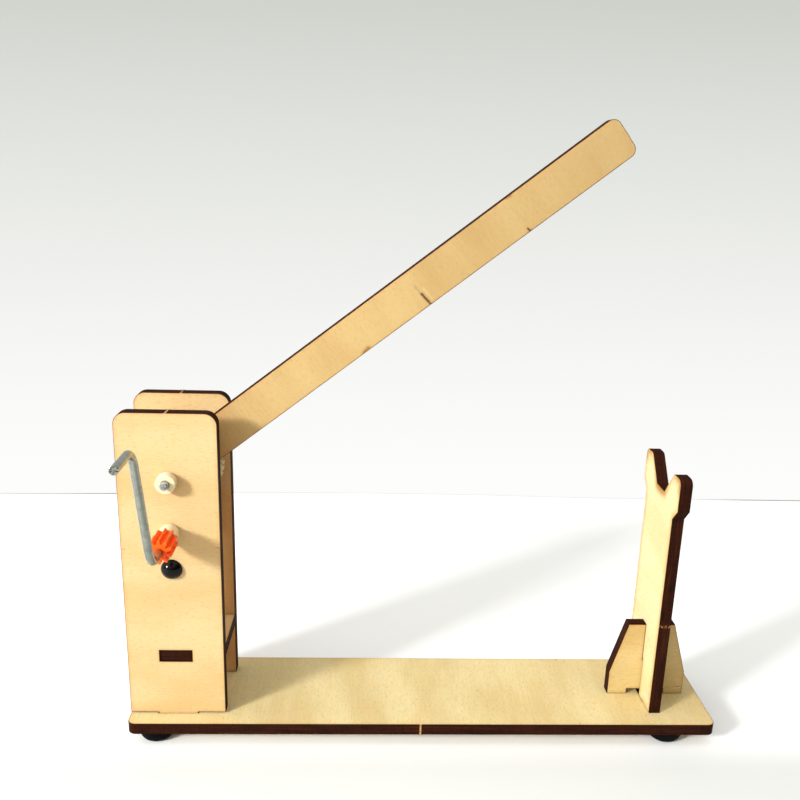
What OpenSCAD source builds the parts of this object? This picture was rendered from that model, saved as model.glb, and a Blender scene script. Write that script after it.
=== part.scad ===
// Hand-cranked boom barrier, a laser-cut plywood kit with steel shafts and plastic gears.
// Millimetres. +X runs along the base from the tower to the fork rest, +Y points away from the
// crank side, +Z is up. The origin is under the middle of the whole assembly, at foot level.

/* [Base] */
// Length of the base plate
base_len = 150; // [140:1:180]
// Width of the base plate
base_w = 30; // [29:1:40]
// Thickness of every plywood piece
ply = 3; // [2.8:0.1:3.2]
// Corner radius of the base plate
base_corner_r = 2; // [0.5:0.5:4]

/* [Feet] */
// Diameter of each self-adhesive rubber foot
foot_d = 9.5; // [8:0.5:10]
// Height of the full dome that each foot is cut from
foot_dome_h = 3.8; // [3:0.1:4]
// Radius of the flat that each foot stands on
foot_flat_r = 2; // [1.5:0.5:2.5]
// Distance of the tower-end feet from the end of the base
foot_tower_inset = 6.5; // [5:0.5:12]
// Distance of the fork-end feet from the end of the base
foot_fork_inset = 11.5; // [5:0.5:14]
// Distance of all feet from the long edges of the base
foot_side_inset = 5; // [5:0.5:8]

/* [Tower] */
// Width of the two tower panels along the base
panel_w = 24; // [24:1:30]
// Height of the two tower panels above the base
panel_h = 80; // [78:1:100]
// Clear gap between the two panels
panel_gap = 15; // [15:1:18]
// Radius of the panels' top corners
panel_corner_r = 3; // [1:0.5:5]
// Width of the tab that fixes each panel to the base
panel_tab_w = 10; // [6:1:14]
// Height of the cross plate's underside above the base
cross_h = 15; // [10:1:20]
// Width of the cross plate's tabs
cross_tab_w = 8; // [6:1:12]
// Height of the crank shaft above the base
crank_h = 50.1; // [48:0.1:55]
// Height of the snap rivet above the base
rivet_h = 40.4; // [35:0.1:42]

/* [Boom] */
// Width of the boom's face
boom_w = 9.7; // [9:0.1:11]
// Length of the boom from its shaft to its tip
boom_reach = 132.5; // [130:0.5:140]
// Length of the boom behind its shaft
boom_tail = 6; // [5.5:0.5:7]
// Corner radius of the boom's ends
boom_corner_r = 2; // [1:0.5:4]
// Angle of the boom above the horizontal as the kit stands
boom_angle = 38; // [1:1:90]

/* [Fork rest] */
// Distance from the tower end of the base to the fork post
post_x = 134; // [130:0.5:140]
// Width of the post's stem
stem_w = 20; // [18:1:22]
// Width of the post's forked head
head_w = 25.4; // [25:0.1:28]
// Height of the post above the base
post_h = 66; // [64:0.1:68]
// Height of the floor of the fork's notch above the base
notch_h = 59.4; // [57:0.1:59.4]
// Width of the floor of the fork's notch
notch_w = 5.5; // [4:0.1:6]
// Slope of the notch's sides, from the horizontal
notch_slope = 51.5; // [45:0.5:60]
// Height of the brace that stands across the post
brace_h = 21; // [18:1:24]
// Length of the brace along the base
brace_w = 20.5; // [18:0.5:22]
// Length of the brace's top edge
brace_top_w = 12.4; // [10:0.2:14]

/* [Gears] */
// Gear module
gear_m = 0.5; // [0.5:0.05:0.5]
// Teeth on the boom's gear
gear_teeth = 42; // [42:1:42]
// Teeth on each pinion
pinion_teeth = 10; // [10:1:10]
// Extra centre distance that lets the gears run freely
mesh_slack = 0.2; // [0.2:0.05:0.3]
// Length of each pinion
pinion_len = 7; // [6:0.5:9]
// Width of the gear's toothed rim
gear_face = 2.2; // [2:0.1:2.5]

/* [Shafts] */
// Diameter of the steel shafts
shaft_d = 2; // [2:0.1:2]
// Length of the boom's shaft
shaft_len = 29.5; // [29:0.5:32]
// Outer diameter of the plastic sleeves
sleeve_d = 4.8; // [4:0.1:5]
// Radial clearance of a shaft in a plywood hole
run_gap = 0.05; // [0.03:0.01:0.08]
// Gap between a sleeve and the panel beside it
end_play = 0.2; // [0.15:0.05:0.3]

/* [Crank] */
// Distance from the crank shaft to the grip
crank_throw = 27.1; // [20:0.1:28]
// Lean of the crank's arm from the vertical as the kit stands
crank_lean = 6; // [0:1:45]
// Length of the grip, from the crank's arm to its end
grip_len = 12.6; // [8:0.1:16]
// Distance from the front panel to the crank's arm
crank_out = 18; // [17:0.5:20]
// Bend radius at the middle of the crank's wire
bend_r = 3.5; // [2.5:0.5:4]

/* [Hidden] */
$fn = 64;

birch = "#f3dfa0";
tan_birch = "#cfa873";
pressure_angle = 20;
slack = 0.05;          // all-round clearance of a plywood tab in its slot
shoulder_gap = 0.3;    // gap under a panel's shoulders, on each side of its tab
eps = 0.01;            // how far a cutter passes a face

// Heights above the floor
foot_sphere_r = (pow(foot_d / 2, 2) + pow(foot_dome_h, 2)) / (2 * foot_dome_h);
foot_h = foot_dome_h - foot_sphere_r + sqrt(pow(foot_sphere_r, 2) - pow(foot_flat_r, 2));
deck = foot_h + ply;
crank_z = deck + crank_h;
boom_z = crank_z + gear_m * (gear_teeth + pinion_teeth) / 2 + mesh_slack;

// Places along X, from the middle of the base
tower_left = -base_len / 2;
shaft_x = tower_left + panel_w / 2;
post_left = -base_len / 2 + post_x;
post_mid = post_left + ply / 2;

// Places along Y, from the centreline of the base
front_inner = -panel_gap / 2;
front_outer = front_inner - ply;
rear_inner = panel_gap / 2;
rear_outer = rear_inner + ply;
sleeve_front_len = 2.4;
crank_sleeve_front_len = 3.7;
sleeve_rear_len = 2.1;
boom_front = -ply / 2;
boom_rear = ply / 2;
hub_len = rear_inner - boom_rear - end_play;
pinion_gap = 0.1;      // between the front crank sleeve and the outer pinion
shaft_rear = rear_outer + end_play + sleeve_rear_len + 2.2;
shaft_front = shaft_rear - shaft_len;
crank_arm_y = front_outer - crank_out;
grip_end_y = crank_arm_y - grip_len;
crank_rear_y = rear_outer + end_play + sleeve_rear_len + 1.5;
// Shift that puts the middle of the assembly over the origin
mid_y = (grip_end_y + max(shaft_rear, crank_rear_y)) / 2;

// Gear geometry
gear_pitch_r = gear_m * gear_teeth / 2;
gear_tip_r = gear_pitch_r + gear_m;
gear_root_r = gear_pitch_r - 1.25 * gear_m;
pinion_pitch_r = gear_m * pinion_teeth / 2;
pinion_tip_r = pinion_pitch_r + gear_m;
pinion_root_r = pinion_pitch_r - 1.15 * gear_m;

// Turns a profile drawn in X and Z so that it stands across Y, from y0 to y1
module across_y(y0, y1) {
    translate([0, y1, 0]) rotate([90, 0, 0]) linear_extrude(y1 - y0) children();
}

// A cylinder along Y
module rod_y(x, z, y0, y1, r) {
    translate([x, y1, z]) rotate([90, 0, 0]) cylinder(r = r, h = y1 - y0);
}

// A tube along Y that fits a shaft
module sleeve_y(z, y0, y1) {
    difference() {
        rod_y(shaft_x, z, y0, y1, sleeve_d / 2);
        rod_y(shaft_x, z, y0 - eps, y1 + eps, shaft_d / 2);
    }
}

// Everything is placed from the base's centreline, then shifted over the origin
module place() {
    translate([0, -mid_y, 0]) children();
}

// A rectangle with round corners, from its lowest corner
module round_rect(w, h, r) {
    translate([r, 0]) square([w - 2 * r, h]);
    translate([0, r]) square([w, h - 2 * r]);
    for (x = [r, w - r], y = [r, h - r]) translate([x, y]) circle(r = r);
}

// ---- plywood pieces -----------------------------------------------------------------------

// Slot in the base for a tab, with its own clearance
module slot(x, y, lx, ly) {
    translate([x - slack, y - slack, foot_h - eps])
        cube([lx + 2 * slack, ly + 2 * slack, ply + 2 * eps]);
}

module base_plate() {
    tab_x = shaft_x - panel_tab_w / 2;
    color(birch) place() difference() {
        translate([-base_len / 2, -base_w / 2, foot_h])
            linear_extrude(ply) round_rect(base_len, base_w, base_corner_r);
        slot(tab_x, front_outer, panel_tab_w, ply);
        slot(tab_x, rear_inner, panel_tab_w, ply);
        slot(post_left, -post_tab_w / 2, ply, post_tab_w);
    }
}

// Outline of a tower panel with its tab, seen from the crank side
module panel_outline() {
    r = panel_corner_r;
    translate([tower_left, deck]) {
        translate([0, shoulder_gap]) square([panel_w, panel_h - r - shoulder_gap]);
        translate([r, shoulder_gap]) square([panel_w - 2 * r, panel_h - shoulder_gap]);
        for (x = [r, panel_w - r]) translate([x, panel_h - r]) circle(r = r);
    }
    translate([shaft_x - panel_tab_w / 2, foot_h]) square([panel_tab_w, ply + 1]);
}

// A tower panel from y0, with its two shaft holes and the cross plate's slot
module panel(y0) {
    difference() {
        across_y(y0, y0 + ply) panel_outline();
        rod_y(shaft_x, boom_z, y0 - eps, y0 + ply + eps, shaft_d / 2 + run_gap);
        rod_y(shaft_x, crank_z, y0 - eps, y0 + ply + eps, shaft_d / 2 + run_gap);
        translate([shaft_x - cross_tab_w / 2 - slack, y0 - eps, deck + cross_h - slack])
            cube([cross_tab_w + 2 * slack, ply + 2 * eps, ply + 2 * slack]);
    }
}

module front_panel() {
    color(birch) place() difference() {
        panel(front_outer);
        rod_y(shaft_x, deck + rivet_h, front_outer - eps, front_inner + eps, rivet_hole_r);
    }
}

module rear_panel() {
    color(birch) place() panel(rear_inner);
}

// Horizontal plate that ties the two panels together
module cross_plate() {
    tab = ply - 0.3;   // the tabs stop a little below the panels' faces
    color(birch) place() {
        translate([tower_left, front_inner, deck + cross_h]) cube([panel_w, panel_gap, ply]);
        translate([shaft_x - cross_tab_w / 2, front_inner - tab, deck + cross_h])
            cube([cross_tab_w, panel_gap + 2 * tab, ply]);
    }
}

// ---- fork rest ----------------------------------------------------------------------------

post_tab_w = 10;
neck_h = 54.9;         // where the head starts to widen
shoulder_h = 57.8;     // where the head is at full width
prong_out_r = 1.8;     // round on the outer side of a prong's top
prong_in_r = 1.5;      // round on the inner side of a prong's top
lap_h = brace_h / 2;   // height at which the post's slot and the brace's slot meet

// Points along an arc round [x, y], from angle a0 to a1
function arc(x, y, r, a0, a1, steps = 6) =
    [for (k = [0:steps]) let (a = a0 + (a1 - a0) * k / steps) [x + r * cos(a), y + r * sin(a)]];

// Half of the post's outline, in Y and Z from the base's top
function post_side() =
    let (rise = post_h - prong_in_r - notch_h,
         in_x = notch_w / 2 + (prong_in_r + rise * cos(notch_slope)) / sin(notch_slope))
    concat(
        [[post_tab_w / 2, -ply], [post_tab_w / 2, 0], [stem_w / 2, 0], [stem_w / 2, neck_h],
         [head_w / 2, shoulder_h]],
        arc(head_w / 2 - prong_out_r, post_h - prong_out_r, prong_out_r, 0, 90),
        arc(in_x, post_h - prong_in_r, prong_in_r, 90, 90 + notch_slope),
        [[notch_w / 2, notch_h]]
    );

module rest_post() {
    side = post_side();
    last = len(side) - 1;
    outline = concat(side, [for (i = [last:-1:0]) [-side[i][0], side[i][1]]]);
    color(birch) place() difference() {
        translate([post_left, 0, deck]) rotate([90, 0, 90]) linear_extrude(ply) polygon(outline);
        translate([post_left - eps, -ply / 2 - slack, foot_h - eps])
            cube([ply + 2 * eps, ply + 2 * slack, ply + lap_h + slack + eps]);
    }
}

// Brace that crosses the post, with a shallow arch under it
module rest_brace() {
    side_h = 6.7;      // height of the brace's vertical ends
    arch_w = 10;
    arch_h = 1.5;
    color(birch) place() difference() {
        across_y(-ply / 2, ply / 2) translate([post_mid, deck]) polygon([
            [-brace_w / 2, 0], [-arch_w / 2, 0], [-arch_w / 2, arch_h], [arch_w / 2, arch_h],
            [arch_w / 2, 0], [brace_w / 2, 0], [brace_w / 2, side_h], [brace_top_w / 2, brace_h],
            [-brace_top_w / 2, brace_h], [-brace_w / 2, side_h]
        ]);
        translate([post_left - slack, -ply / 2 - eps, deck + lap_h - slack])
            cube([ply + 2 * slack, ply + 2 * eps, brace_h - lap_h + slack + eps]);
    }
}

// ---- feet and rivet -----------------------------------------------------------------------

// A rubber dome under the base, flattened where it stands
module foot(x, y) {
    color("#1b1b1b") place() translate([x, y, 0]) intersection() {
        translate([0, 0, foot_h - foot_dome_h + foot_sphere_r]) sphere(r = foot_sphere_r);
        cylinder(r = foot_d, h = foot_h);
    }
}

foot_left = -base_len / 2 + foot_tower_inset;
foot_right = base_len / 2 - foot_fork_inset;
foot_side = base_w / 2 - foot_side_inset;

rivet_hole_r = 1.7;
rivet_sleeve_r = 1.65;
rivet_pin_r = 0.9;
rivet_head_r = 2.65;
rivet_head_h = 1.9;
rivet_flange_h = 0.9;
rivet_sphere_r = (pow(rivet_head_r, 2) + pow(rivet_head_h, 2)) / (2 * rivet_head_h);

// Domed half of the snap rivet, pushed in from the front
module rivet_plug() {
    z = deck + rivet_h;
    color("#101010") place() {
        intersection() {
            translate([shaft_x, front_outer - rivet_head_h + rivet_sphere_r, z])
                sphere(r = rivet_sphere_r);
            rod_y(shaft_x, z, front_outer - rivet_head_h - 1, front_outer, rivet_head_r + 1);
        }
        rod_y(shaft_x, z, front_outer - 0.5, front_inner + rivet_flange_h - 0.1, rivet_pin_r);
    }
}

// Flanged half of the snap rivet, pushed in from inside the tower
module rivet_socket() {
    z = deck + rivet_h;
    color("#181818") place() difference() {
        union() {
            rod_y(shaft_x, z, front_outer + 0.05, front_inner + eps, rivet_sleeve_r);
            rod_y(shaft_x, z, front_inner, front_inner + rivet_flange_h, rivet_head_r);
        }
        rod_y(shaft_x, z, front_outer - 1, front_inner + rivet_flange_h + 1, rivet_pin_r);
    }
}

// ---- boom and its shaft -------------------------------------------------------------------

// The boom lies along +X from its shaft, then turns up to its angle
module boom() {
    color(tan_birch) place() translate([shaft_x, 0, boom_z]) rotate([0, -boom_angle, 0])
        difference() {
            translate([0, ply / 2, 0]) rotate([90, 0, 0]) linear_extrude(ply)
                translate([-boom_tail, -boom_w / 2])
                    round_rect(boom_tail + boom_reach, boom_w, boom_corner_r);
            rod_y(0, 0, -ply, ply, shaft_d / 2);
        }
}

module boom_shaft() {
    color("#b9bcc0") place() rod_y(shaft_x, boom_z, shaft_front, shaft_rear, shaft_d / 2);
}

module boom_spacer() {
    color("#f4f4f0") place() sleeve_y(boom_z, front_inner + end_play, boom_front);
}

module boom_sleeve_front() {
    color("#f4f4f0") place()
        sleeve_y(boom_z, front_outer - end_play - sleeve_front_len, front_outer - end_play);
}

module boom_sleeve_rear() {
    color("#f4f4f0") place()
        sleeve_y(boom_z, rear_outer + end_play, rear_outer + end_play + sleeve_rear_len);
}

// ---- gears --------------------------------------------------------------------------------

function involute(a) = tan(a) * 180 / PI - a;

// Half of a tooth's angle at radius r; below the base circle the flank is radial
function half_angle(r, teeth) =
    let (base = gear_m * teeth / 2 * cos(pressure_angle))
    90 / teeth + involute(pressure_angle) - (r > base ? involute(acos(base / r)) : 0);

// Outline of a spur gear whose first tooth is turned by phase from +X
function spur(teeth, root, tip, phase) =
    let (steps = 4, radii = [for (k = [0:steps]) root + (tip - root) * k / steps])
    [for (i = [0:teeth - 1]) for (side = [-1, 1]) for (k = [0:steps])
        let (r = side < 0 ? radii[k] : radii[steps - k],
             a = phase + 360 * i / teeth + side * half_angle(r, teeth))
        [r * cos(a), r * sin(a)]];

// The boom's gear has a space between teeth straight below its shaft
module boom_gear() {
    hub_r = 2.75;
    web_r = gear_root_r - 1.1;
    web_t = 1;
    y0 = boom_rear;
    phase = -90 + 180 / gear_teeth;
    outline = spur(gear_teeth, gear_root_r, gear_tip_r, phase);
    color("#f6f6f2") place() difference() {
        union() {
            across_y(y0 + 0.3, y0 + 0.3 + gear_face)
                translate([shaft_x, boom_z]) polygon(outline);
            rod_y(shaft_x, boom_z, y0, y0 + hub_len, hub_r);
        }
        // web recess at the back of the rim
        difference() {
            rod_y(shaft_x, boom_z, y0 + 0.3 + web_t, y0 + 0.3 + gear_face + eps, web_r);
            rod_y(shaft_x, boom_z, y0, y0 + hub_len, hub_r);
        }
        rod_y(shaft_x, boom_z, y0 - eps, y0 + hub_len + eps, shaft_d / 2);
    }
}

// A pinion along Y with one tooth pointing straight up, at the gear
module pinion(y0) {
    outline = spur(pinion_teeth, pinion_root_r, pinion_tip_r, 90);
    color("#f26a1b") place() difference() {
        across_y(y0, y0 + pinion_len) translate([shaft_x, crank_z]) polygon(outline);
        rod_y(shaft_x, crank_z, y0 - eps, y0 + pinion_len + eps, shaft_d / 2);
    }
}

crank_sleeve_y = front_outer - end_play - crank_sleeve_front_len;

module outer_pinion() {
    pinion(crank_sleeve_y - pinion_gap - pinion_len);
}

module drive_pinion() {
    pinion(rear_inner - end_play - pinion_len);
}

module crank_sleeve_front() {
    color("#f4f4f0") place() sleeve_y(crank_z, crank_sleeve_y, front_outer - end_play);
}

module crank_sleeve_rear() {
    color("#f4f4f0") place()
        sleeve_y(crank_z, rear_outer + end_play, rear_outer + end_play + sleeve_rear_len);
}

// Quarter of a wire bend in the Y-Z plane, centred at [y, z], from angle a0
module wire_bend(y, z, a0) {
    translate([0, y, z]) rotate([0, 0, 90]) rotate([90, 0, 0]) rotate([0, 0, a0])
        rotate_extrude(angle = 90) translate([bend_r, 0]) circle(d = shaft_d, $fn = 48);
}

// One steel wire: shaft, arm and grip, with the arm leaning towards the tower's end
module crank_handle() {
    color("#aeb3b6") place() translate([shaft_x, 0, crank_z]) rotate([0, -crank_lean, 0]) {
        rod_y(0, 0, crank_arm_y + bend_r, crank_rear_y, shaft_d / 2);
        wire_bend(crank_arm_y + bend_r, bend_r, 180);
        translate([0, crank_arm_y, bend_r]) cylinder(d = shaft_d, h = crank_throw - 2 * bend_r);
        wire_bend(crank_arm_y - bend_r, crank_throw - bend_r, 0);
        rod_y(0, crank_throw, grip_end_y, crank_arm_y - bend_r, shaft_d / 2);
    }
}

base_plate();
front_panel();
rear_panel();
cross_plate();
rest_post();
rest_brace();
foot(foot_left, -foot_side);  // foot_front_left
foot(foot_right, -foot_side);  // foot_front_right
foot(foot_left, foot_side);  // foot_rear_left
foot(foot_right, foot_side);  // foot_rear_right
rivet_plug();
rivet_socket();
boom();
boom_shaft();
boom_gear();
boom_spacer();
boom_sleeve_front();
boom_sleeve_rear();
crank_handle();
outer_pinion();
drive_pinion();
crank_sleeve_front();
crank_sleeve_rear();
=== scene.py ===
"""A hand-cranked boom barrier of laser-cut plywood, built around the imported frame."""
import math

import bpy
import numpy as np
from mathutils import Matrix, Vector, geometry, noise


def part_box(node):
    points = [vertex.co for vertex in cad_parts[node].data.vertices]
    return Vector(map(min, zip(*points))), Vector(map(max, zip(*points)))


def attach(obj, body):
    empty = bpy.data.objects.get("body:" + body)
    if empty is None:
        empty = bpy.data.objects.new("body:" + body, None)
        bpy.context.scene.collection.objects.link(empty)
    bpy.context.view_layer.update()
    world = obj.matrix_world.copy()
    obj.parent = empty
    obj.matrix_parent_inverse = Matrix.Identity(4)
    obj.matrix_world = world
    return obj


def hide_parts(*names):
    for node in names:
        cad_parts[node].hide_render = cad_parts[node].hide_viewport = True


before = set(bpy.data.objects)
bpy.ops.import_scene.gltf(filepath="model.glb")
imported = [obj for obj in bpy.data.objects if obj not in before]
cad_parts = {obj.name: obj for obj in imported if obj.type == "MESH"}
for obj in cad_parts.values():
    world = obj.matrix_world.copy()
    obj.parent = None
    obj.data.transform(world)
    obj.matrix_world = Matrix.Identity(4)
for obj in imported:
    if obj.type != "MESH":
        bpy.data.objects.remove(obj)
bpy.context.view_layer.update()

MM = 0.001
PLY = 3.0            # every sheet's thickness, in millimetres
WIRE_RADIUS = 1.0    # the boom's shaft and the crank are of the same wire
AXES = {"x": 0, "y": 1, "z": 2}


def srgb(red, green, blue):
    """A display colour, 0 to 255, as the linear colour that a shader takes."""
    def linear(value):
        value /= 255
        return value / 12.92 if value <= 0.04045 else ((value + 0.055) / 1.055) ** 2.4
    return (linear(red), linear(green), linear(blue), 1)


# ---- material nodes -------------------------------------------------------------------------


class Graph:
    """Short calls that build one material's nodes."""

    def __init__(self, name):
        self.material = bpy.data.materials.new(name)
        self.material.use_nodes = True
        self.tree = self.material.node_tree
        self.tree.nodes.clear()
        self.shader = self.node("ShaderNodeBsdfPrincipled")
        output = self.node("ShaderNodeOutputMaterial")
        self.tree.links.new(self.shader.outputs[0], output.inputs[0])

    def node(self, kind, **settings):
        made = self.tree.nodes.new(kind)
        for key, value in settings.items():
            setattr(made, key, value)
        return made

    def feed(self, socket, value):
        """Links a node's output to the socket, or sets it to a plain value."""
        if isinstance(value, bpy.types.NodeSocket):
            self.tree.links.new(value, socket)
        else:
            socket.default_value = value

    def set(self, socket, value):
        self.feed(self.shader.inputs[socket], value)

    def math(self, operation, a, b=0.0, clamp=False):
        made = self.node("ShaderNodeMath", operation=operation, use_clamp=clamp)
        self.feed(made.inputs[0], a)
        self.feed(made.inputs[1], b)
        return made.outputs[0]

    def vector(self, operation, a, b, result=0):
        """Vector maths. The result that is a number, such as a distance, is result 1."""
        made = self.node("ShaderNodeVectorMath", operation=operation)
        self.feed(made.inputs[0], a)
        self.feed(made.inputs[1], b)
        return made.outputs[result]

    def mix(self, factor, a, b):
        """Colour a where factor is 0, colour b where it is 1."""
        made = self.node("ShaderNodeMix", data_type="RGBA")
        self.feed(made.inputs[0], factor)
        self.feed(made.inputs[6], a)
        self.feed(made.inputs[7], b)
        return made.outputs[2]

    def noise(self, vector, detail=3.0, roughness=0.5):
        made = self.node("ShaderNodeTexNoise")
        self.feed(made.inputs["Vector"], vector)
        for socket, value in (("Scale", 1.0), ("Detail", detail), ("Roughness", roughness)):
            made.inputs[socket].default_value = value
        return made.outputs[0]

    def ramp(self, value, low, high, to_low=0.0, to_high=1.0, smooth=True):
        """Takes low..high to to_low..to_high, and holds the ends."""
        made = self.node("ShaderNodeMapRange")
        made.interpolation_type = "SMOOTHSTEP" if smooth else "LINEAR"
        self.feed(made.inputs[0], value)
        for index, number in enumerate((low, high, to_low, to_high)):
            made.inputs[index + 1].default_value = number
        return made.outputs[0]

    def attribute(self, name, output="Fac"):
        return self.node("ShaderNodeAttribute", attribute_name=name).outputs[output]

    def place(self):
        """The point on the piece at rest, in millimetres."""
        made = self.node("ShaderNodeTexCoord")
        return self.vector("MULTIPLY", made.outputs["Object"], (1 / MM,) * 3)

    def stretched(self, vector, sizes, offset=(0, 0, 0)):
        """Coordinates in which a unit is as long as each size, in millimetres."""
        moved = self.vector("ADD", vector, offset)
        return self.vector("MULTIPLY", moved, tuple(1 / size for size in sizes))

    def bump(self, height, strength, distance):
        """A normal from a height that spans this distance, in millimetres."""
        made = self.node("ShaderNodeBump")
        made.inputs["Strength"].default_value = strength
        made.inputs["Distance"].default_value = distance * MM
        self.feed(made.inputs["Height"], height)
        return made.outputs[0]


def split(g, vector):
    """The three parts of a vector."""
    parts = g.node("ShaderNodeSeparateXYZ")
    g.feed(parts.inputs[0], vector)
    return parts.outputs


def streak(g, place, start, end, width):
    """1 on a narrow, ragged mark from start to end on a sheet's face, 0 beyond its width."""
    rough = 0.3
    start, end = Vector((*start, 0)), Vector((*end, 0))
    wobble = g.noise(g.stretched(place, (0.8, 0.8, 9)), detail=2)
    axis = end - start
    reach = max(axis.length_squared, 1e-6)
    away = g.vector("SUBTRACT", place, tuple(start))
    along = g.math("DIVIDE", g.vector("DOT_PRODUCT", away, tuple(axis), 1), reach, clamp=True)
    on_line = g.node("ShaderNodeVectorMath", operation="SCALE")
    on_line.inputs[0].default_value = axis
    g.feed(on_line.inputs["Scale"], along)
    flat = g.vector("MULTIPLY", g.vector("SUBTRACT", away, on_line.outputs[0]), (1, 1, 0))
    distance = g.node("ShaderNodeVectorMath", operation="LENGTH")
    g.feed(distance.inputs[0], flat)
    ragged = g.math("ADD", distance.outputs["Value"], g.math("MULTIPLY", wobble, rough))
    return g.ramp(ragged, width + rough / 2, rough / 2)


# ---- materials ------------------------------------------------------------------------------


SPECK = srgb(166, 136, 84)
SCORCH_GLOW = srgb(170, 131, 60)
SCORCH_DEEP = srgb(145, 104, 40)
SCORCH_LINE = srgb(92, 44, 18)
MARK_COLOURS = {
    "dark": srgb(84, 46, 24),
    "burn": srgb(142, 96, 40),
    "pale": srgb(255, 240, 200),
    "grey": srgb(160, 138, 100),
}
CHAR = srgb(31, 13, 6)
CHAR_LIGHT = srgb(46, 20, 10)
GLUE_LINE = srgb(64, 28, 13)
SOOT = srgb(18, 8, 5)
BARE_WOOD = srgb(214, 172, 116)
SPLINTER = srgb(196, 140, 84)


def plywood(name, light, deep, seed, halo, reach=1.1, grit=0.55, marks=(), hot=(), shade_fades=(),
            top_marks=False):
    """The face of birch plywood: faint grain across the piece, scorched beside its burnt edges.

    Halo is how brown the scorch is, and reach how far it goes into the face. Grit is how dark
    the specks are. Marks hold (kind, start, end, width, strength). Hot holds (centre, radius,
    strength) of the places where the laser slowed down and scorched the face further in. The
    shade fades hold (start, end, strength, colour, whether on the lower face alone) of painted
    shade, a change of tone along the piece where shade falls on it. The marks are on the face
    with the lower coordinate, or with top_marks on the other.
    """
    g = Graph(name)
    place = g.attribute("sheet", "Vector")
    edge = g.attribute("edge")
    shift = (seed * 37.0, seed * 91.0, seed * 13.0)
    grain = g.noise(g.stretched(place, (0.5, 9, 9), shift), detail=5, roughness=0.6)
    fine = g.noise(g.stretched(place, (0.13, 2.6, 9), shift), detail=3, roughness=0.6)
    broad = g.noise(g.stretched(place, (11, 34, 9), shift), detail=2)
    blotch = g.noise(g.stretched(place, (2.2, 5, 4), shift), detail=4)
    tone = g.math("ADD", g.math("MULTIPLY", grain, 0.25), g.math("MULTIPLY", broad, 0.75))
    wood = g.mix(g.ramp(tone, 0.36, 0.66), light, deep)
    wood = g.mix(g.ramp(fine, 0.57, 0.76, 0, 0.5), wood, deep)
    wood = g.mix(g.ramp(blotch, 0.52, 0.78, 0, 0.45), wood, deep)
    wood = g.mix(g.ramp(blotch, 0.45, 0.22, 0, 0.35), wood, light)
    specks = g.noise(g.stretched(place, (0.2, 1.3, 9), shift), detail=3, roughness=0.7)
    wood = g.mix(g.ramp(specks, 0.54, 0.68, 0, grit), wood, SPECK)
    along, _, level = split(g, place)
    lower_face = g.ramp(level, 2.0, 1.0)
    # painted shade: darken the wood along the piece where shade falls on it
    for start, end, amount, colour, lower_only in shade_fades:
        share = g.ramp(along, start, end, 0, amount, smooth=False)
        if lower_only:
            share = g.math("MULTIPLY", share, lower_face)
        wood = g.mix(share, wood, colour)
    # scorch beside the cut: a thin brown line, then a glow that fades into the face
    waver = g.noise(g.stretched(place, (1.3, 1.3, 9), shift), detail=3)
    ragged = g.math("SUBTRACT", edge, g.math("MULTIPLY", g.math("SUBTRACT", waver, 0.5), 0.9))
    glow = g.ramp(ragged, reach, 0.0, 0, 0.62 * halo)
    wood = g.mix(glow, wood, SCORCH_GLOW)
    for centre, radius, strength in hot:
        away = g.vector("DISTANCE", g.vector("MULTIPLY", place, (1, 1, 0)), (*centre, 0), 1)
        near = g.ramp(away, radius, radius * 0.2, 0, strength)
        band = g.ramp(ragged, 3.4, 0.0)
        wood = g.mix(g.math("MULTIPLY", near, band), wood, SCORCH_DEEP)
    wood = g.mix(g.ramp(edge, 0.26, 0.06, 0, 0.85), wood, SCORCH_LINE)
    shown = g.ramp(level, 1.0, 2.0) if top_marks else lower_face
    for kind, start, end, width, strength in marks:
        mask = g.math("MULTIPLY", streak(g, place, start, end, width), strength)
        mask = g.math("MULTIPLY", mask, shown)
        wood = g.mix(mask, wood, MARK_COLOURS[kind])
    g.set("Base Color", wood)
    g.set("Roughness", g.ramp(fine, 0.3, 0.7, 0.55, 0.72))
    g.shader.inputs["Specular IOR Level"].default_value = 0.15
    g.shader.inputs["Subsurface Weight"].default_value = 0.35
    g.shader.inputs["Subsurface Radius"].default_value = (1.0, 0.32, 0.1)
    g.shader.inputs["Subsurface Scale"].default_value = 2.2 * MM
    height = g.math("ADD", g.math("MULTIPLY", grain, 0.6), g.math("MULTIPLY", fine, 0.6))
    g.set("Normal", g.bump(height, 0.3, 0.04))
    return g.material


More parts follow.
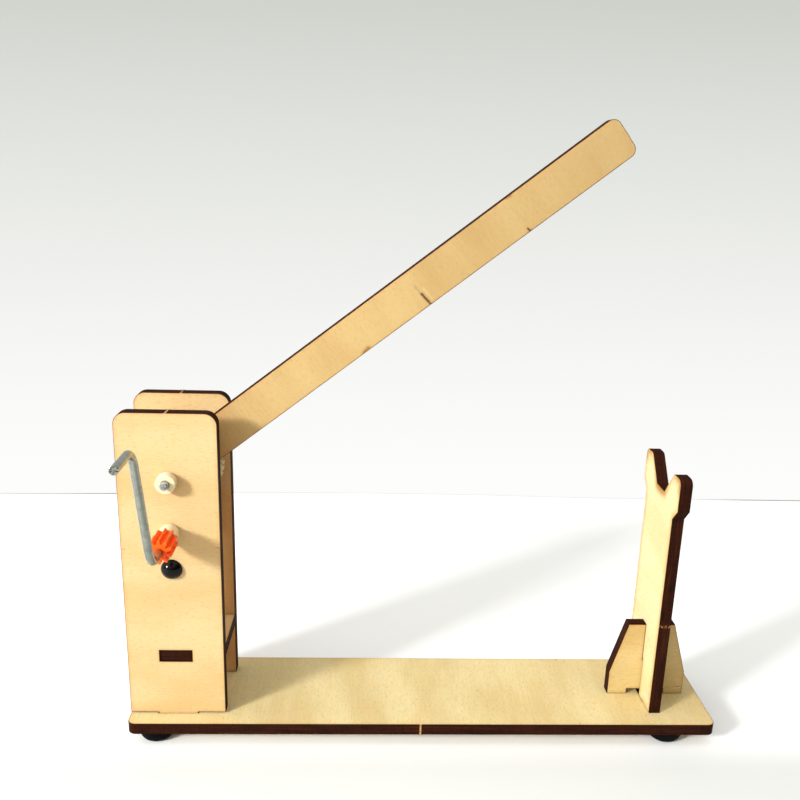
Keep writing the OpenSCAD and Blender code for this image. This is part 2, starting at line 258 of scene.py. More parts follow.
def burnt(name, seed, crumbs=None, nibs=()):
    """The laser-cut wall of a sheet: three plies, soot in fine upright lines, bare at a nib.

    Crumbs is a place along the piece where the wall shows pale splinters. Nibs hold the places
    where the piece was snapped out of its sheet, and how pale the wood is there.
    """
    g = Graph(name)
    sheet = g.attribute("sheet", "Vector")
    wall = g.node("ShaderNodeCombineXYZ")
    g.feed(wall.inputs[0], g.attribute("along"))
    g.feed(wall.inputs[1], g.attribute("depth"))
    wall.inputs[2].default_value = seed * 7.0
    wall = wall.outputs[0]
    lines = g.noise(g.stretched(wall, (0.22, 4, 1)), detail=3, roughness=0.65)
    patches = g.noise(g.stretched(wall, (4.5, 1.6, 1)), detail=3)
    plies = g.noise(g.stretched(wall, (14, 0.55, 1)), detail=2)
    char = g.mix(g.ramp(lines, 0.3, 0.7), CHAR, CHAR_LIGHT)
    char = g.mix(g.ramp(plies, 0.45, 0.7, 0, 0.6), char, GLUE_LINE)
    char = g.mix(g.ramp(patches, 0.5, 0.75, 0, 0.6), char, SOOT)
    for centre, strength in nibs:
        flat = g.vector("MULTIPLY", sheet, (1, 1, 0))
        away = g.vector("DISTANCE", flat, (*centre, 0), 1)
        torn = g.noise(g.stretched(sheet, (0.3, 0.3, 0.4)), detail=2)
        ragged = g.math("ADD", away, g.math("MULTIPLY", torn, 0.35))
        char = g.mix(g.ramp(ragged, 0.5, 0.25, 0, strength), char, BARE_WOOD)
    if crumbs is not None:
        along = split(g, sheet)[0]
        away = g.math("ABSOLUTE", g.math("SUBTRACT", along, crumbs))
        specks = g.noise(g.stretched(sheet, (0.35, 0.5, 0.5)), detail=2)
        mask = g.math("MULTIPLY", g.ramp(away, 0.5, 0.1), g.ramp(specks, 0.5, 0.6))
        char = g.mix(mask, char, SPLINTER)
    g.set("Base Color", char)
    g.shader.inputs["Roughness"].default_value = 0.75
    g.shader.inputs["Specular IOR Level"].default_value = 0.04
    g.set("Normal", g.bump(lines, 0.5, 0.08))
    return g.material


def plastic(name, colour, shade, seed, rough, level, glow=0.0):
    """Injection-moulded plastic: faint flow lines and slight orange peel.

    Level is the strength of its gloss, and glow how much light goes on under its surface.
    """
    g = Graph(name)
    place = g.place()
    shift = (seed * 17.0, seed * 5.0, seed * 29.0)
    cloud = g.noise(g.stretched(place, (2.5, 2.5, 2.5), shift), detail=3)
    flow = g.noise(g.stretched(place, (0.5, 6, 0.5), shift), detail=3, roughness=0.6)
    peel = g.noise(g.stretched(place, (0.18, 0.18, 0.18), shift), detail=2)
    tone = g.math("ADD", g.math("MULTIPLY", cloud, 0.6), g.math("MULTIPLY", flow, 0.4))
    g.set("Base Color", g.mix(g.ramp(tone, 0.35, 0.65), colour, shade))
    g.set("Roughness", g.ramp(flow, 0.3, 0.7, rough - 0.06, rough + 0.1))
    g.set("Normal", g.bump(peel, 0.25, 0.02))
    g.shader.inputs["Specular IOR Level"].default_value = level
    if glow:
        g.shader.inputs["Subsurface Weight"].default_value = glow
        g.shader.inputs["Subsurface Radius"].default_value = (1.0, 0.7, 0.5)
        g.shader.inputs["Subsurface Scale"].default_value = 0.6 * MM
    return g.material


def metal(name, colour, shade, rough, seed, scratch=(0.12, 6, 0.12), place=None):
    """Drawn steel: fine lines along the wire and a cloudy, slightly dull skin.

    Scratch is the size of the lines in three directions. Place names the mesh attribute that
    they follow, on a wire that bends.
    """
    g = Graph(name)
    place = g.attribute(place, "Vector") if place else g.place()
    shift = (seed * 23.0, seed * 3.0, seed * 11.0)
    drawn = g.noise(g.stretched(place, scratch, shift), detail=4, roughness=0.65)
    cloud = g.noise(g.stretched(place, (1.4, 1.4, 1.4), shift), detail=4)
    streaks = g.noise(g.stretched(place, [size * 3.5 for size in scratch], shift), detail=3)
    skin = g.math("ADD", g.math("MULTIPLY", streaks, 0.6), g.math("MULTIPLY", cloud, 0.4))
    g.set("Base Color", g.mix(g.ramp(skin, 0.36, 0.66), colour, shade))
    g.shader.inputs["Metallic"].default_value = 1.0
    spread = g.math("ADD", g.math("MULTIPLY", drawn, 0.5), g.math("MULTIPLY", cloud, 0.5))
    g.set("Roughness", g.ramp(spread, 0.35, 0.65, rough - 0.06, rough + 0.1))
    g.set("Normal", g.bump(drawn, 0.35, 0.02))
    return g.material


def rubber(name):
    """Matt black rubber with a fine grain."""
    g = Graph(name)
    place = g.place()
    grain = g.noise(g.stretched(place, (0.2, 0.2, 0.2)), detail=3)
    dust = g.noise(g.stretched(place, (2.2, 2.2, 1.2)), detail=4)
    g.set("Base Color", g.mix(g.ramp(dust, 0.5, 0.75, 0, 0.6), srgb(8, 8, 8), srgb(20, 19, 18)))
    g.set("Roughness", g.ramp(dust, 0.3, 0.7, 0.5, 0.7))
    g.shader.inputs["Specular IOR Level"].default_value = 0.03
    g.set("Normal", g.bump(grain, 0.3, 0.03))
    return g.material


# ---- mesh helpers ---------------------------------------------------------------------------


def to_mesh(name, points, faces, smooth_angle):
    """An object from points in millimetres, smooth where its faces meet at less than the angle."""
    mesh = bpy.data.meshes.new(name)
    mesh.from_pydata([Vector(p) * MM for p in points], [], faces)
    mesh.update()
    mesh.polygons.foreach_set("use_smooth", [True] * len(mesh.polygons))
    mesh.set_sharp_from_angle(angle=math.radians(smooth_angle))
    made = bpy.data.objects.new(name, mesh)
    bpy.context.scene.collection.objects.link(made)
    return made


def add_piece(made, body, slot, material, *nodes):
    """Gives a new piece its body and its material, and hides the CAD nodes that it stands for. The
    slot is not used.
    """
    made.data.materials.append(material)
    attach(made, body)
    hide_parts(*nodes)


def plate_outline(node, axis):
    """The outline loops of a CAD plate's upper face, and its two levels, in millimetres."""
    u, v = (axis + 1) % 3, (axis + 2) % 3
    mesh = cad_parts[node].data
    mesh.calc_loop_triangles()
    co = np.array([p.co for p in mesh.vertices]) / MM
    low, high = co[:, axis].min(), co[:, axis].max()
    keys = {}
    welded = []
    flat = []
    for p in co:
        key = tuple(np.round(p, 3))
        if key not in keys:
            keys[key] = len(flat)
            flat.append((p[u], p[v]))
        welded.append(keys[key])
    edges = set()
    for triangle in mesh.loop_triangles:
        corners = triangle.vertices
        if min(co[i][axis] for i in corners) < high - 0.002:
            continue
        a, b, c = (welded[i] for i in corners)
        edges.update(((a, b), (b, c), (c, a)))
    after = {a: b for a, b in edges if (b, a) not in edges}
    loops = []
    while after:
        first = next(iter(after))
        loop = [first]
        step = after.pop(first)
        while step != first:
            loop.append(step)
            step = after.pop(step)
        loops.append(np.array([flat[i] for i in loop]))
    return sorted(loops, key=len, reverse=True), low, high


def resampled(loop, step):
    """The same closed outline with no side longer than step."""
    points = []
    for a, b in zip(loop, np.roll(loop, -1, axis=0)):
        parts = max(1, math.ceil(np.linalg.norm(b - a) / step))
        points += [a + (b - a) * k / parts for k in range(parts)]
    return np.array(points)


def inward(loop):
    """For each point of an outline, the way into the sheet, long enough to keep the width."""
    def unit(sides):
        return sides / np.maximum(np.linalg.norm(sides, axis=1, keepdims=True), 1e-9)
    ahead = unit(np.roll(loop, -1, axis=0) - loop)
    behind = unit(loop - np.roll(loop, 1, axis=0))
    left = np.stack([-ahead[:, 1], ahead[:, 0]], 1) + np.stack([-behind[:, 1], behind[:, 0]], 1)
    left = unit(left)
    ahead_left = np.stack([-ahead[:, 1], ahead[:, 0]], 1)
    return left / np.maximum((left * ahead_left).sum(1, keepdims=True), 0.5)


def nearest_edge(points, loops):
    """How far each point is from the outline."""
    best = np.full(len(points), 1e9)
    for loop in loops:
        for a, b in zip(loop, np.roll(loop, -1, axis=0)):
            side = b - a
            share = np.clip(((points - a) @ side) / max(side @ side, 1e-12), 0, 1)
            away = np.linalg.norm(points - a - share[:, None] * side, axis=1)
            best = np.minimum(best, away)
    return best


def inside(points, loops):
    """Whether each point is in the sheet, by counting the sides above it."""
    odd = np.zeros(len(points), bool)
    for loop in loops:
        for a, b in zip(loop, np.roll(loop, -1, axis=0)):
            if abs(a[0] - b[0]) < 1e-9:
                continue
            spans = (a[0] > points[:, 0]) != (b[0] > points[:, 0])
            level = a[1] + (points[:, 0] - a[0]) * (b[1] - a[1]) / (b[0] - a[0])
            odd ^= spans & (points[:, 1] < level)
    return odd


CHAMFER = 0.09                           # how far a face's rim is set in from its wall
OUTLINE_STEP = 0.6                       # the longest side along an outline
RINGS = (0.22, 0.42, 0.75, 1.25, 1.9)    # distances from the cut that get rings of points
FACE_STEP = 2.0                          # the grid's step inside the rings
WALL_STEPS = (0.03, 0.16, 0.33, 0.5, 0.67, 0.84, 0.97)    # shares of the way down the wall
SMOOTH_PLATE, SMOOTH_TURNED, SMOOTH_WIRE = 40, 32, 40     # angles, in degrees


def plate(name, body, slot, node, axis, origin, along, face, wall, nibs=()):
    """A detailed plywood sheet on a CAD plate's outline.

    The attribute "sheet" holds the place along the piece, across it and through it, "edge" the
    distance to the cut, and "along" and "depth" the place on the burnt wall. Nibs hold the
    (place, width, rise) of the small bumps left where the piece was snapped out.
    """
    axis = AXES[axis]
    u, v = (axis + 1) % 3, (axis + 2) % 3
    rough_loops, low, high = plate_outline(node, axis)
    along = Vector(along)
    through = Vector([float(k == axis) for k in range(3)])
    across = through.cross(along)
    origin = Vector(origin)

    def solid(point, level):
        full = [0.0] * 3
        full[u], full[v], full[axis] = float(point[0]), float(point[1]), level
        return Vector(full)

    def on_sheet(point):
        away = solid(point, low) - origin
        return np.array([away.dot(along), away.dot(across)])

    loops = [resampled(loop, OUTLINE_STEP) for loop in rough_loops]
    for place, width, rise in nibs:
        for loop in loops:
            away = np.array([np.linalg.norm(on_sheet(p) - place) for p in loop])
            share = np.clip(1 - away / width, 0, 1)
            loop -= inward(loop) * (share * rise)[:, None]
    rims = [loop + inward(loop) * CHAMFER for loop in loops]
    seeds = list(np.concatenate(rims))
    sides = []
    base = 0
    for rim in rims:
        count = len(rim)
        sides += [(base + k, base + (k + 1) % count) for k in range(count)]
        base += count
    rim_count = base
    for ring in RINGS:
        for loop in loops:
            moved = loop + inward(loop) * ring
            keep = nearest_edge(moved, loops) > ring * 0.93
            seeds += list(moved[keep & inside(moved, loops)])
    lowest, highest = loops[0].min(0), loops[0].max(0)
    ticks = [np.arange(low + 1, high, FACE_STEP) for low, high in zip(lowest, highest)]
    grid = np.stack(np.meshgrid(*ticks), -1).reshape(-1, 2)
    grid = grid[inside(grid, loops)]
    seeds += list(grid[nearest_edge(grid, loops) > RINGS[-1] + 0.4])
    made = geometry.delaunay_2d_cdt([Vector(p) for p in seeds], sides, [], 0, 1e-5)
    flat = np.array([p[:] for p in made[0]])
    faces = np.array(made[2])
    centres = flat[faces].mean(1)
    faces = faces[inside(centres, rims)]
    spin = np.cross(flat[faces[:, 1]] - flat[faces[:, 0]], flat[faces[:, 2]] - flat[faces[:, 0]])
    faces[spin < 0] = faces[spin < 0][:, ::-1]
    new_place = {}
    for index, sources in enumerate(made[3]):
        for source in sources:
            if source < rim_count:
                new_place[source] = index
    distance = nearest_edge(flat, loops)
    count = len(flat)
    points = [solid(p, high) for p in flat] + [solid(p, low) for p in flat]
    edge = list(distance) * 2
    sheet = [(*on_sheet(p), PLY) for p in flat] + [(*on_sheet(p), 0.0) for p in flat]
    depth, walk = [0.0] * (2 * count), [0.0] * (2 * count)
    triangles = [tuple(f) for f in faces] + [tuple(int(i) + count for i in f[::-1]) for f in faces]
    face_count = len(triangles)
    base = 0
    for loop in loops:
        size = len(loop)
        lengths = np.linalg.norm(np.roll(loop, -1, axis=0) - loop, axis=1)
        walked = np.concatenate([[0], np.cumsum(lengths)[:-1]])
        rows = [[new_place[base + k] for k in range(size)]]
        for share in WALL_STEPS:
            level = high - (high - low) * share
            rows.append(list(range(len(points), len(points) + size)))
            points += [solid(p, level) for p in loop]
            sheet += [(*on_sheet(p), level - low) for p in loop]
            edge += [0.0] * size
            depth += [share * PLY] * size
            walk += list(walked)
        rows.append([new_place[base + k] + count for k in range(size)])
        for upper, lower in zip(rows, rows[1:]):
            for k in range(size):
                after = (k + 1) % size
                triangles.append((upper[after], upper[k], lower[k], lower[after]))
        base += size
    piece = to_mesh(name, points, triangles, SMOOTH_PLATE)
    for label, values in (("edge", edge), ("depth", depth), ("along", walk)):
        piece.data.attributes.new(label, "FLOAT", "POINT").data.foreach_set("value", values)
    values = np.array(sheet, np.float32).ravel()
    piece.data.attributes.new("sheet", "FLOAT_VECTOR", "POINT").data.foreach_set("vector", values)
    add_piece(piece, body, slot, face, node)
    piece.data.materials.append(wall)
    on_wall = [int(k >= face_count) for k in range(len(triangles))]
    piece.data.polygons.foreach_set("material_index", on_wall)


def lathe(name, profile, centre, axis="y", segments=96, wobble=0.0):
    """A turned piece: profile holds (radius, place along the axis) pairs, all round the section.

    A radius of 0 closes the end. The place counts from the centre along the axis. Wobble is the
    share by which the radius may vary.
    """
    axis = AXES[axis]
    u, v = (axis + 1) % 3, (axis + 2) % 3
    points = []
    rows = []
    for radius, place in profile:
        count = 1 if radius == 0 else segments
        rows.append(list(range(len(points), len(points) + count)))
        for k in range(count):
            turn = 2 * math.pi * k / segments
            r = radius * (1 + wobble * noise.noise(Vector((math.cos(turn), math.sin(turn), place))))
            point = [0.0] * 3
            point[axis] = centre[axis] + place
            point[u] = centre[u] + r * math.cos(turn)
            point[v] = centre[v] + r * math.sin(turn)
            points.append(point)
    faces = []
    closed = profile[0][0] > 0 and profile[-1][0] > 0
    pairs = list(zip(rows, rows[1:])) + ([(rows[-1], rows[0])] if closed else [])
    for low, high in pairs:
        for k in range(segments):
            after = (k + 1) % segments
            quad = [low[k % len(low)], low[after % len(low)],
                    high[after % len(high)], high[k % len(high)]]
            face = list(dict.fromkeys(quad))
            if len(face) > 2:
                faces.append(face)
    return to_mesh(name, points, faces, SMOOTH_TURNED)


def rounded(corners, radius):
    """A (radius, place) section with each corner cut back by an arc of this radius."""
    steps = 4
    path = []
    count = len(corners)
    for k, corner in enumerate(corners):
        here = Vector(corner)
        before = Vector(corners[k - 1]) - here
        after = Vector(corners[(k + 1) % count]) - here
        if here[0] == 0 or min(before.length, after.length) < 1e-6:
            path.append(tuple(here))
            continue
        size = min(radius, before.length * 0.45, after.length * 0.45)
        start, end = here + before.normalized() * size, here + after.normalized() * size
        for step in range(steps + 1):
            t = step / steps
            path.append(tuple(start * (1 - t) ** 2 + here * 2 * t * (1 - t) + end * t ** 2))
    return path


def swept(name, path, radius):
    """A round wire along a path, its first end chamfered and its last end cut off askew.

    The attribute "wire" holds the place along the wire and the two places across it.
    """
    segments = 40
    path = [Vector(p) for p in path]
    ahead = (path[1] - path[0]).normalized()
    side = ahead.orthogonal().normalized()
    points, wire, rows = [], [], []
    walked = 0.0

    def ring(centre, size, place, lean=0.0):
        rows.append(list(range(len(points), len(points) + segments)))
        other = ahead.cross(side)
        for k in range(segments):
            turn = 2 * math.pi * k / segments
            c, s = math.cos(turn), math.sin(turn)
            slip = lean * (c + 0.35 * noise.noise(Vector((c * 2, s * 2, place))))
            points.append(centre + (side * c + other * s) * size + ahead * slip)
            wire.append((place, size * c, size * s))

    last = len(path) - 1
    for index, point in enumerate(path):
        if index:
            walked += (point - path[index - 1]).length
        if 0 < index < last:
            after = (path[index + 1] - point).normalized()
            middle = (ahead + after).normalized()
            side = (side - middle * side.dot(middle)).normalized()
            ahead = middle
            ring(point, radius, walked)
            ahead = after
            side = (side - ahead * side.dot(ahead)).normalized()
        elif index == 0:
            ring(point, radius * 0.84, 0.0)
            ring(point + ahead * 0.16, radius, 0.16)
        else:
            ring(point - ahead * 0.5, radius, walked - 0.5)
            ring(point - ahead * 0.24, radius * 1.01, walked - 0.2, 0.12)
            ring(point - ahead * 0.16, radius * 0.86, walked, 0.14)
            ring(point - ahead * 0.2, radius * 0.4, walked, 0.1)
    faces = [tuple(reversed(rows[0])), tuple(rows[-1])]
    for low, high in zip(rows, rows[1:]):
        for k in range(segments):
            after = (k + 1) % segments
            faces.append((low[k], low[after], high[after], high[k]))
    made = to_mesh(name, points, faces, SMOOTH_WIRE)
    values = np.array(wire, np.float32).ravel()
    made.data.attributes.new("wire", "FLOAT_VECTOR", "POINT").data.foreach_set("vector", values)
    return made


# ---- plywood pieces -------------------------------------------------------------------------

SHAFT_X = -63.0          # both shafts lie in the tower's middle plane
MID_Y = 13.05            # the base's middle
SHAFT_DISTANCE = 13.2
BOOM_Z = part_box("boom_shaft")[0].z / MM + WIRE_RADIUS
CRANK_Z = BOOM_Z - SHAFT_DISTANCE
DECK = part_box("base_plate")[1].z / MM
FRONT_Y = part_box("front_panel")[0].y / MM
RIVET_Z = DECK + 40.4
BOOM_ANGLE = math.radians(38)

LIGHT_BIRCH = srgb(210, 183, 135)
WARM_BIRCH = srgb(203, 170, 117)

plate("base", "frame", "birch_ply", "base_plate", "z", (0, MID_Y, 0), (1, 0, 0),
      plywood("base_ply", srgb(208, 190, 142), srgb(194, 172, 121), 1.0, 0.4, grit=0.6,
              top_marks=True, marks=[
          ("dark", (39.7, 15.0), (39.7, 14.5), 0.25, 0.8),
          ("dark", (39.7, -15.0), (39.8, -13.8), 0.2, 0.7),
          ("grey", (33.0, -2.4), (34.6, -1.5), 0.12, 0.6),
          ("grey", (34.2, -2.2), (35.0, -2.0), 0.1, 0.5)]),
      burnt("base_wall", 1.0, nibs=[((-1.2, -15.0), 0.7), ((74.6, -14.5), 0.5)]),
      nibs=[((-1.2, -15.0), 0.7, 0.1)])
plate("front_panel_sheet", "frame", "birch_ply", "front_panel", "y",
      (SHAFT_X, 0, DECK), (0, 0, 1),
      plywood("front_panel_ply", LIGHT_BIRCH, WARM_BIRCH, 2.0, 0.4, marks=[
          ("dark", (45.6, -12.0), (45.6, -11.0), 0.14, 0.8),
          ("dark", (46.2, 12.0), (46.2, 10.8), 0.14, 0.8)]),
      burnt("front_panel_wall", 2.0, nibs=[((80.0, 0.2), 0.6)]), nibs=[((80.0, 0.2), 0.4, 0.18)])
plate("rear_panel_sheet", "frame", "birch_ply", "rear_panel", "y",
      (SHAFT_X, 0, DECK), (0, 0, 1),
      # painted shade: the inner face turns darker and more orange below 70 mm up, where the inside
      # of the tower lies in shade
      plywood("rear_panel_ply", LIGHT_BIRCH, WARM_BIRCH, 3.0, 0.4, shade_fades=[
          (70, 52, 0.55, srgb(170, 112, 52), True)]),
      burnt("rear_panel_wall", 3.0, nibs=[((80.0, 0.0), 0.4)]), nibs=[((80.0, 0.0), 0.3, 0.12)])
plate("cross_plate_sheet", "frame", "birch_ply", "cross_plate", "z",
      (SHAFT_X, MID_Y, 0), (1, 0, 0),
      plywood("cross_ply", LIGHT_BIRCH, WARM_BIRCH, 4.0, 0.5), burnt("cross_wall", 4.0))
plate("fork_post", "frame", "birch_ply", "rest_post", "x", (0, MID_Y, DECK), (0, 0, 1),
      plywood("post_ply", srgb(211, 191, 147), srgb(203, 179, 131), 5.0, 1.05, reach=2.1, hot=[
          ((59.4, 0.0), 7.0, 0.95), ((65.0, 11.5), 4.5, 0.75), ((65.0, -11.5), 4.5, 0.75)]),
      burnt("post_wall", 5.0, crumbs=25.3))
plate("fork_brace", "frame", "birch_ply", "rest_brace", "y", (60.5, 0, DECK), (0, 0, 1),
      plywood("brace_ply", srgb(200, 178, 124), srgb(188, 160, 104), 6.0, 0.45, grit=0.7, marks=[
          ("dark", (2.0, 7.6), (2.3, 10.2), 0.1, 0.7),
          ("pale", (1.7, 7.9), (1.9, 9.8), 0.12, 0.6)]),
      burnt("brace_wall", 6.0))
plate("boom_sheet", "boom_arm", "tan_ply", "boom", "y", (SHAFT_X, 0, BOOM_Z),
      (math.cos(BOOM_ANGLE), 0, math.sin(BOOM_ANGLE)),
      # painted shade: the boom darker towards its tip, where the light falls off, and dark brown at
      # its root, in the tower's shadow
      plywood("boom_ply", srgb(195, 167, 114), srgb(184, 153, 99), 7.0, 0.2, grit=0.6, shade_fades=[
          (60, 140, 0.4, srgb(150, 122, 80), False), (23, 9, 0.5, srgb(150, 94, 44), False)],
      marks=[
          ("grey", (73.6, -1.0), (74.0, 4.8), 0.4, 0.7),
          ("dark", (73.85, 1.5), (74.2, 4.85), 0.55, 1.0),
          ("pale", (75.0, 0.8), (75.2, 3.8), 0.5, 0.12),
          ("burn", (54.6, 4.75), (56.0, 4.4), 1.0, 0.9),
          ("burn", (102.4, -4.75), (103.4, -4.7), 0.7, 0.8),
          ("burn", (102.3, 4.8), (103.1, 4.7), 0.7, 0.7),
          ("dark", (102.7, 4.85), (102.5, 3.9), 0.45, 1.0)]),
      burnt("boom_wall", 7.0, nibs=[((132.5, 0.2), 0.8)]), nibs=[((132.5, 0.2), 0.6, 0.14)])


# ---- turned pieces --------------------------------------------------------------------------

STEEL = metal("steel", srgb(182, 184, 184), srgb(120, 122, 122), 0.24, 1)
WIRE = metal("wire_steel", srgb(171, 174, 165), srgb(138, 141, 132), 0.17, 2,
             (16, 0.25, 0.25), "wire")
WHITE = plastic("white_nylon", srgb(226, 211, 176), srgb(218, 202, 162), 1, 0.5, 0.3, 0.45)
ORANGE = plastic("orange_plastic", srgb(255, 98, 14), srgb(250, 78, 8), 2, 0.4, 0.25, 0.15)
BLACK = plastic("black_nylon", srgb(3, 3, 3), srgb(6, 5, 5), 3, 0.08, 0.2)
RUBBER = rubber("foot_rubber")


def sleeve(name, body, node):
    """A plastic tube on a shaft, its rims rounded."""
    low, high = (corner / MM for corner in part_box(node))
    centre = (low + high) / 2
    half = (high.y - low.y) / 2
    radius = (high.x - low.x) / 2
    corners = [(WIRE_RADIUS, -half), (WIRE_RADIUS, half), (radius, half), (radius, -half)]
    made = lathe(name, rounded(corners, 0.22), centre)
    add_piece(made, body, "white_plastic", WHITE, node)


sleeve("front_boom_sleeve", "boom_arm", "boom_sleeve_front")
sleeve("rear_boom_sleeve", "boom_arm", "boom_sleeve_rear")
sleeve("inner_boom_sleeve", "boom_arm", "boom_spacer")
sleeve("front_crank_sleeve", "crank", "crank_sleeve_front")
sleeve("rear_crank_sleeve", "crank", "crank_sleeve_rear")


def dress(node, material, bevel):
    """Keeps a CAD node: welds its seams, softens its edges and gives it a material."""
    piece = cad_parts[node]
    piece.data.materials.clear()
    piece.data.materials.append(material)
    weld = piece.modifiers.new("weld", "WELD")
    weld.merge_threshold = 0.002 * MM
    soft = piece.modifiers.new("soft_edges", "BEVEL")
    soft.width = bevel * MM
    soft.segments = 2
    soft.limit_method = "ANGLE"
    soft.angle_limit = math.radians(32)
    soft.use_clamp_overlap = True


dress("boom_gear", WHITE, 0.05)
dress("outer_pinion", ORANGE, 0.07)
dress("drive_pinion", ORANGE, 0.07)


def axle():
    """The boom's straight shaft, its ends chamfered."""
    low, high = (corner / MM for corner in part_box("boom_shaft"))
    centre = (low + high) / 2
    half, radius, chamfer = (high.y - low.y) / 2, (high.x - low.x) / 2, 0.18
    profile = [(0, half), (radius - chamfer, half), (radius, half - chamfer),
               (radius, chamfer - half), (radius - chamfer, -half), (0, -half)]
    made = lathe("boom_axle", profile, centre, segments=64)
    add_piece(made, "boom_arm", "steel_rod", STEEL, "boom_shaft")


axle()


def crank_path():
    """From the shaft's far end, round the first bend, up the arm and out to the grip's end."""
    arm_y, rear_y, grip_y, throw, bend, steps = -15.45, 27.35, -28.05, 27.1, 3.5, 16
    flat = [(rear_y, 0.0), (8.0, 0.0)]
    for k in range(steps + 1):
        turn = math.radians(-90 - 90 * k / steps)
        flat.append((arm_y + bend + bend * math.cos(turn), bend + bend * math.sin(turn)))
    flat += [(arm_y, throw * 0.4), (arm_y, throw * 0.65)]
    for k in range(steps + 1):
        turn = math.radians(90 * k / steps)
        flat.append((arm_y - bend + bend * math.cos(turn),
                     throw - bend + bend * math.sin(turn)))
    flat += [(-24.0, throw), (grip_y, throw)]
    lean = math.radians(6)
    return [(SHAFT_X - math.sin(lean) * r, y, CRANK_Z + math.cos(lean) * r) for y, r in flat]


add_piece(swept("crank_wire", crank_path(), WIRE_RADIUS), "crank", "zinc_wire", WIRE,
          "crank_handle")


def rivet():
    """The rivet's glossy dome with its pin, and the flanged bush behind the panel."""
    wide, tall, pin, steps = 2.65, 1.9, 0.9, 14
    ball = (wide ** 2 + tall ** 2) / (2 * tall)
    dome = [(0, 3.8), (pin, 3.8), (pin, 0), (2.5, 0), (2.62, -0.06)]
    for k in range(steps + 1):
        place = -0.16 - 1.735 * k / steps
        dome.append((math.sqrt(max(ball ** 2 - (place - ball + tall) ** 2, 0)), place))
    dome.append((0, -tall))
    centre = (SHAFT_X, FRONT_Y, RIVET_Z)
    add_piece(lathe("rivet_dome", dome, centre), "frame", "black_nylon", BLACK, "rivet_plug")
    bush = [(pin, 0.05), (pin, 3.9), (wide, 3.9), (wide, PLY), (1.65, PLY), (1.65, 0.05)]
    add_piece(lathe("rivet_bush", rounded(bush, 0.14), centre), "frame", "black_nylon", BLACK,
              "rivet_socket")


rivet()


def foot(name, node):
    """A black rubber dome, soft at its rim and standing on a small flat."""
    low, high = (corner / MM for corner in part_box(node))
    height, flat, steps = high.z - low.z, 3.0, 15
    wide = (high.x - low.x) / 2
    profile = [(0, height), (wide - 0.25, height), (wide - 0.05, height - 0.12)]
    for k in range(1, steps):
        rest = k / steps
        profile.append((flat + (wide - flat) * math.sqrt(1 - rest ** 2), height * (1 - rest)))
    profile += [(flat - 0.1, 0.02), (flat - 0.5, 0), (0, 0)]
    centre = ((low.x + high.x) / 2, (low.y + high.y) / 2, low.z)
    made = lathe(name, profile, centre, "z", segments=72, wobble=0.008)
    add_piece(made, "frame", "black_rubber", RUBBER, node)


for corner in ("front_left", "front_right", "rear_left", "rear_right"):
    foot(corner + "_foot", "foot_" + corner)


# ---- stage ----------------------------------------------------------------------------------


def stage_sheet(name, corners, material):
    """A flat sheet of the surroundings, which isn't part of the object."""
    mesh = bpy.data.meshes.new(name)
    mesh.from_pydata(corners, [], [tuple(range(len(corners)))])
    made = bpy.data.objects.new(name, mesh)
    bpy.context.scene.collection.objects.link(made)
    mesh.materials.append(material)


TABLE_BACK = 0.170    # the table's far edge, in metres
SEAM = 0.0011         # the width of the shadow line along it
WALL_Y = 1.0


def floor_material():
    """Pale paper, with painted shade in front of the object and towards the right."""
    g = Graph("floor")
    place = g.place()
    paper = g.noise(g.stretched(place, (14, 14, 14)), detail=4)
    x, y, _ = split(g, place)
    # painted shade: the floor is darker in front of the object, from just before the base forward,
    # and more so towards the right
    near = g.ramp(y, 6, -12)
    right = g.ramp(x, -20, 110, smooth=False)
    tone = g.mix(paper, srgb(238, 239, 240), srgb(241, 241, 241))
    tone = g.mix(g.math("MULTIPLY", near, 0.88), tone, srgb(203, 204, 201))
    tone = g.mix(g.math("MULTIPLY", g.math("MULTIPLY", near, right), 0.3), tone,
                 srgb(190, 191, 190))
    g.set("Base Color", tone)
    g.shader.inputs["Roughness"].default_value = 0.6
    g.shader.inputs["Specular IOR Level"].default_value = 0.2
    return g.material


def wall_material():
    """A plain wall lit by itself so that no light falls off, with painted shade that darkens it
    towards its top.
    """
    g = Graph("wall")
    place = g.node("ShaderNodeTexCoord").outputs["Object"]
    level = g.math("POWER", g.ramp(split(g, place)[2], -0.33, 0.36, smooth=False), 1.5)
    g.set("Base Color", (0, 0, 0, 1))
    g.shader.inputs["Specular IOR Level"].default_value = 0.0
    g.set("Emission Color", g.mix(level, srgb(253, 253, 251), srgb(207, 210, 203)))
    g.shader.inputs["Emission Strength"].default_value = 1.0
    return g.material


def seam_material():
    """The thin shadow where the table meets the wall, darker at its left."""
    g = Graph("seam")
    x = split(g, g.place())[0]
    g.set("Base Color", (0, 0, 0, 1))
    g.shader.inputs["Specular IOR Level"].default_value = 0.0
    tone = g.mix(g.ramp(x, -165, -128), srgb(212, 214, 214), srgb(160, 162, 164))
    tone = g.mix(g.ramp(x, -118, -80), tone, srgb(238, 239, 238))
    tone = g.mix(g.ramp(x, 128, 165), tone, srgb(165, 167, 168))
    g.set("Emission Color", tone)
    g.shader.inputs["Emission Strength"].default_value = 1.0
    return g.material


def table_back(x):
    """The far edge of the table at x, which bows a little at both sides."""
    def bow(start, end, size):
        share = min(max((x - start) / (end - start), 0), 1)
        return size * share * share * (3 - 2 * share)
    return TABLE_BACK - bow(-0.02, -0.175, 0.0058) - bow(0.02, 0.09, 0.0022)


EDGE_X = [-3, -0.3] + [-0.2 + 0.01 * k for k in range(41)] + [0.3, 3]
back_edge = [(x, table_back(x), 0) for x in EDGE_X]
stage_sheet("table", [(-3, -3, 0), (3, -3, 0)] + back_edge[::-1], floor_material())
stage_sheet("seam", back_edge + [(x, y + SEAM, z) for x, y, z in back_edge[::-1]],
            seam_material())
stage_sheet("wall", [(-6, WALL_Y, -3), (6, WALL_Y, -3), (6, WALL_Y, 4), (-6, WALL_Y, 4)],
            wall_material())


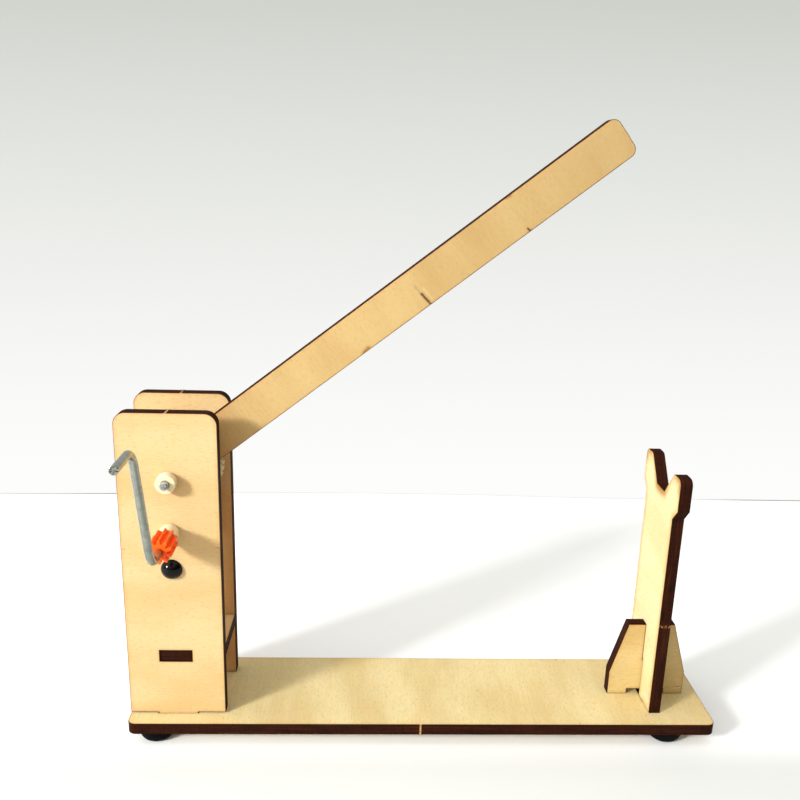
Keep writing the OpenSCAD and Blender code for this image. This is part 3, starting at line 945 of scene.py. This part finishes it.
def key_light():
    """One rectangular light on the front left that faces the middle of the object."""
    data = bpy.data.lights.new("key", "AREA")
    data.shape = "RECTANGLE"
    data.size, data.size_y = 0.2, 0.18
    data.energy = 20
    made = bpy.data.objects.new("key", data)
    bpy.context.scene.collection.objects.link(made)
    distance, turn, rise = 1.2, math.radians(54), math.radians(22)
    way = Vector((-math.sin(turn) * math.cos(rise), -math.cos(turn) * math.cos(rise),
                  math.sin(rise)))
    made.location = Vector((0, MID_Y * MM, 0.06)) + way * distance
    made.rotation_mode = "QUATERNION"
    made.rotation_quaternion = way.to_track_quat("Z", "Y")


key_light()


def studio():
    """Soft light from above on the left, little from the sides, and a plain backdrop."""
    world = bpy.data.worlds.new("studio")
    world.use_nodes = True
    tree = world.node_tree
    tree.nodes.clear()

    def node(kind, **settings):
        made = tree.nodes.new(kind)
        for key, value in settings.items():
            setattr(made, key, value)
        return made

    way = node("ShaderNodeVectorMath", operation="DOT_PRODUCT")
    tree.links.new(node("ShaderNodeTexCoord").outputs["Generated"], way.inputs[0])
    way.inputs[1].default_value = Vector((-0.42, -0.05, 0.9)).normalized()
    level = node("ShaderNodeMapRange")
    tree.links.new(way.outputs["Value"], level.inputs[0])
    for index, number in enumerate((0.05, 1.0, 0.06, 2.0)):
        level.inputs[index + 1].default_value = number
    light = node("ShaderNodeBackground")
    light.inputs[0].default_value = (1.0, 0.985, 0.95, 1)
    tree.links.new(level.outputs[0], light.inputs[1])
    backdrop = node("ShaderNodeBackground")
    backdrop.inputs[0].default_value = srgb(236, 238, 238)
    seen = node("ShaderNodeMixShader")
    tree.links.new(node("ShaderNodeLightPath").outputs["Is Camera Ray"], seen.inputs[0])
    tree.links.new(light.outputs[0], seen.inputs[1])
    tree.links.new(backdrop.outputs[0], seen.inputs[2])
    output = node("ShaderNodeOutputWorld")
    tree.links.new(seen.outputs[0], output.inputs[0])
    bpy.context.scene.world = world


studio()
bpy.context.scene.view_settings.view_transform = "Standard"


def make_camera():
    """A camera in front of the tower, looking slightly down and to the right."""
    data = bpy.data.cameras.new("camera")
    data.sensor_width = 36
    data.lens = 37.74
    data.clip_start, data.clip_end = 0.01, 20
    made = bpy.data.objects.new("camera", data)
    bpy.context.scene.collection.objects.link(made)
    yaw, pitch, roll = 0.0415, -0.2691, 0.0288
    ahead = Vector((math.sin(yaw) * math.cos(pitch), math.cos(yaw) * math.cos(pitch),
                    math.sin(pitch)))
    right = Vector((math.cos(yaw), -math.sin(yaw), 0))
    up = right.cross(ahead)
    tilted_right = right * math.cos(roll) + up * math.sin(roll)
    tilted_up = up * math.cos(roll) - right * math.sin(roll)
    turn = Matrix((tilted_right, tilted_up, -ahead)).transposed().to_4x4()
    made.matrix_world = Matrix.Translation(Vector((-16.414, -184.833, 142.215)) * MM) @ turn
    bpy.context.scene.camera = made


make_camera()
